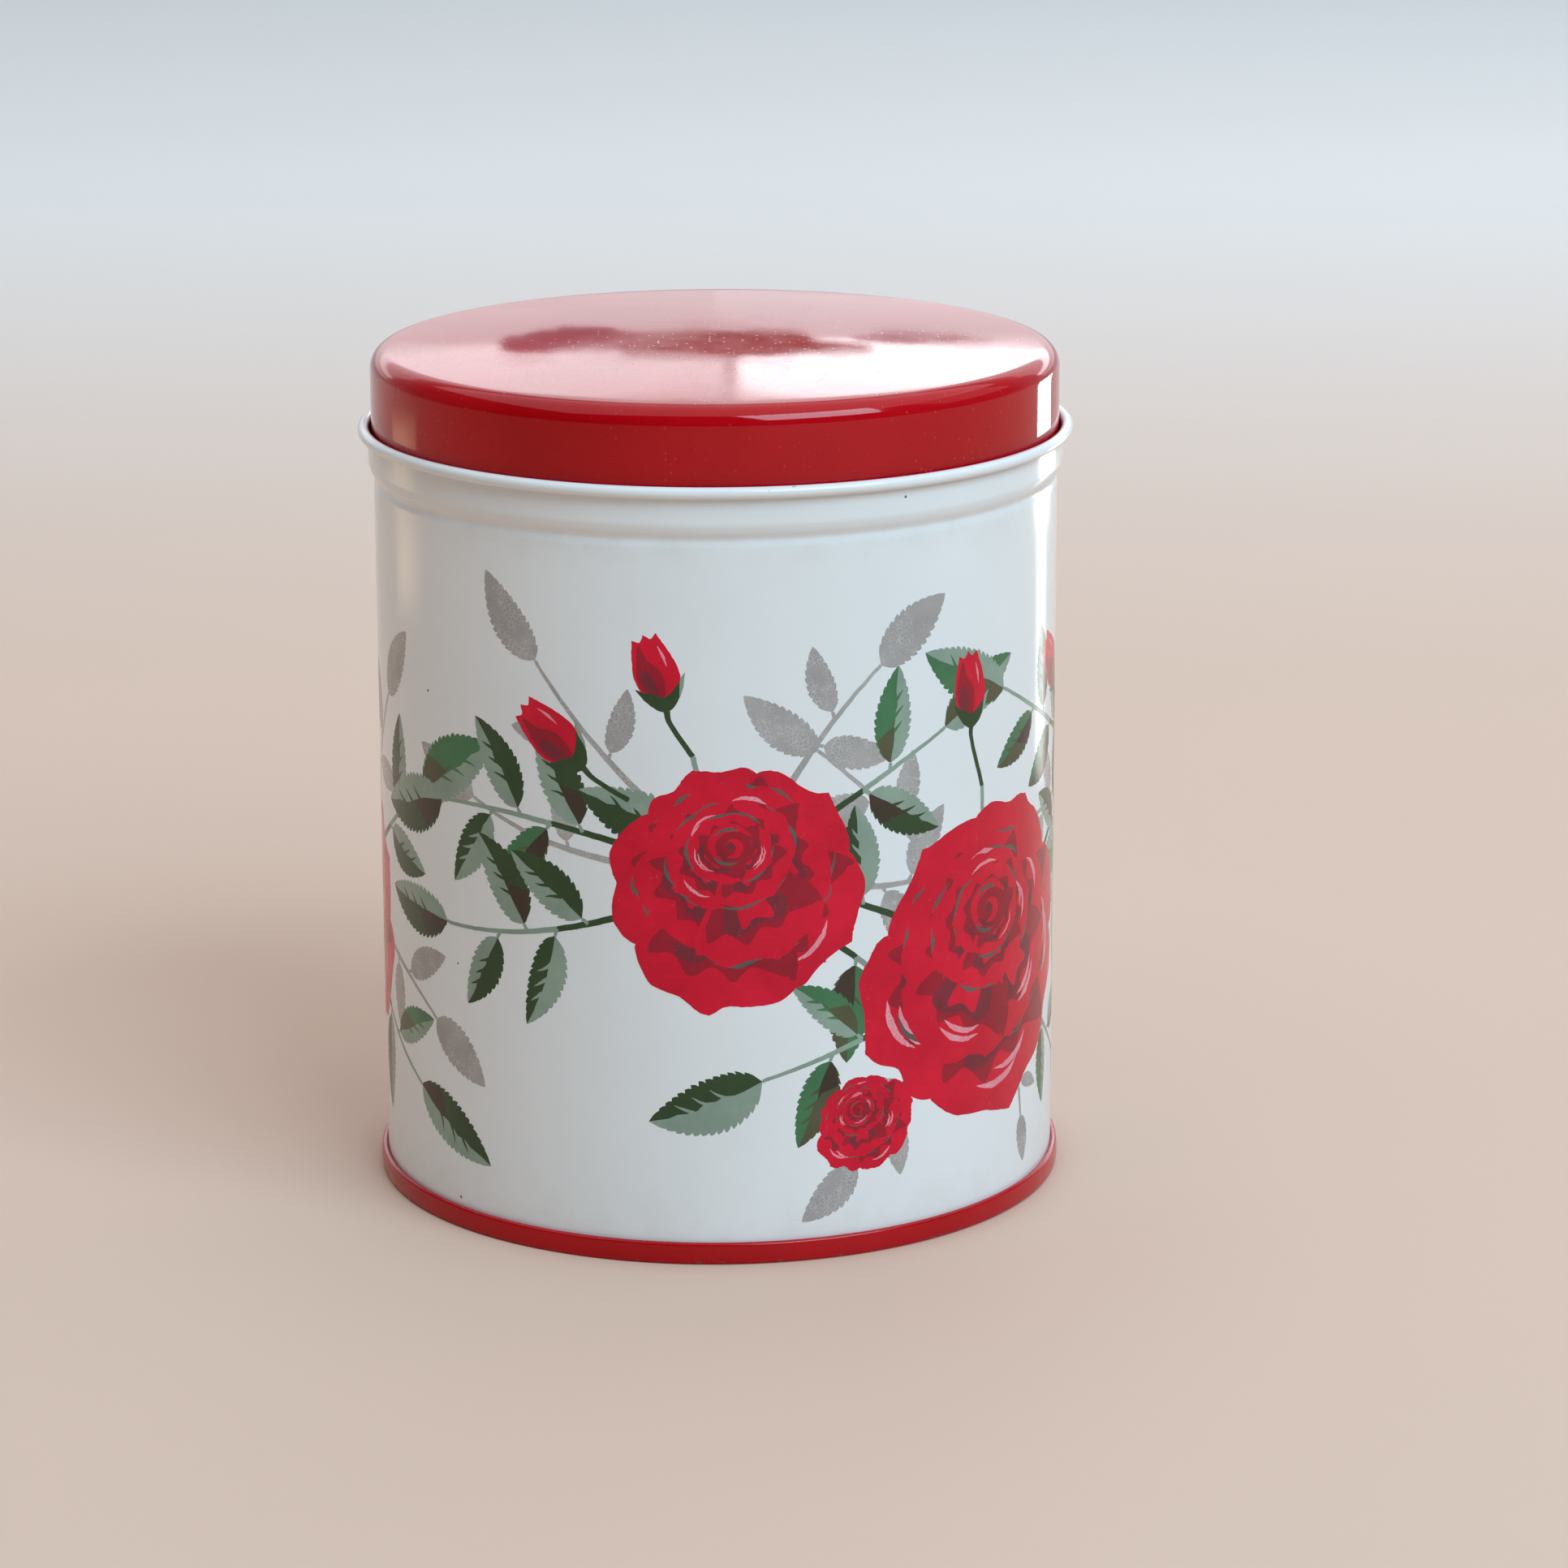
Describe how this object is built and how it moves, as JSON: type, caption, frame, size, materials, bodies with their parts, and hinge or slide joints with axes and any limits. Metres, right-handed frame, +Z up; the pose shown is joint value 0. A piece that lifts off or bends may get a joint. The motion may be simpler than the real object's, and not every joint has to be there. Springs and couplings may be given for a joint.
{
  "type": "round biscuit tin",
  "caption": "Round tinplate cookie tin: rolled body with stepped, rolled-rim mouth, double-seamed bottom end and domed lift-off lid.",
  "frame": {"origin": "centre of the tin's base, on the surface it stands on", "axes": "+Z up along the tin's axis, -Y towards the viewer, +X to the viewer's right; the side seam is at the back, on +Y"},
  "size_m": [0.1464, 0.1462, 0.1754],
  "materials": {
    "white_enamel": "glossy off-white stoving enamel with a printed rose pattern",
    "red_lacquer": "glossy transparent red lacquer over tinplate",
    "compound": "matt cured lining compound"
  },
  "bodies": {
    "tin": {"body_shell": "white_enamel", "bottom_end": "red_lacquer", "seam_compound": "compound"},
    "lid": {"lid": "red_lacquer"}
  },
  "joints": [
    {"name": "lid_lift", "type": "slide", "parent": "tin", "child": "lid", "axis": [0, 0, 1], "range_m": [0, 0.05]}
  ]
}
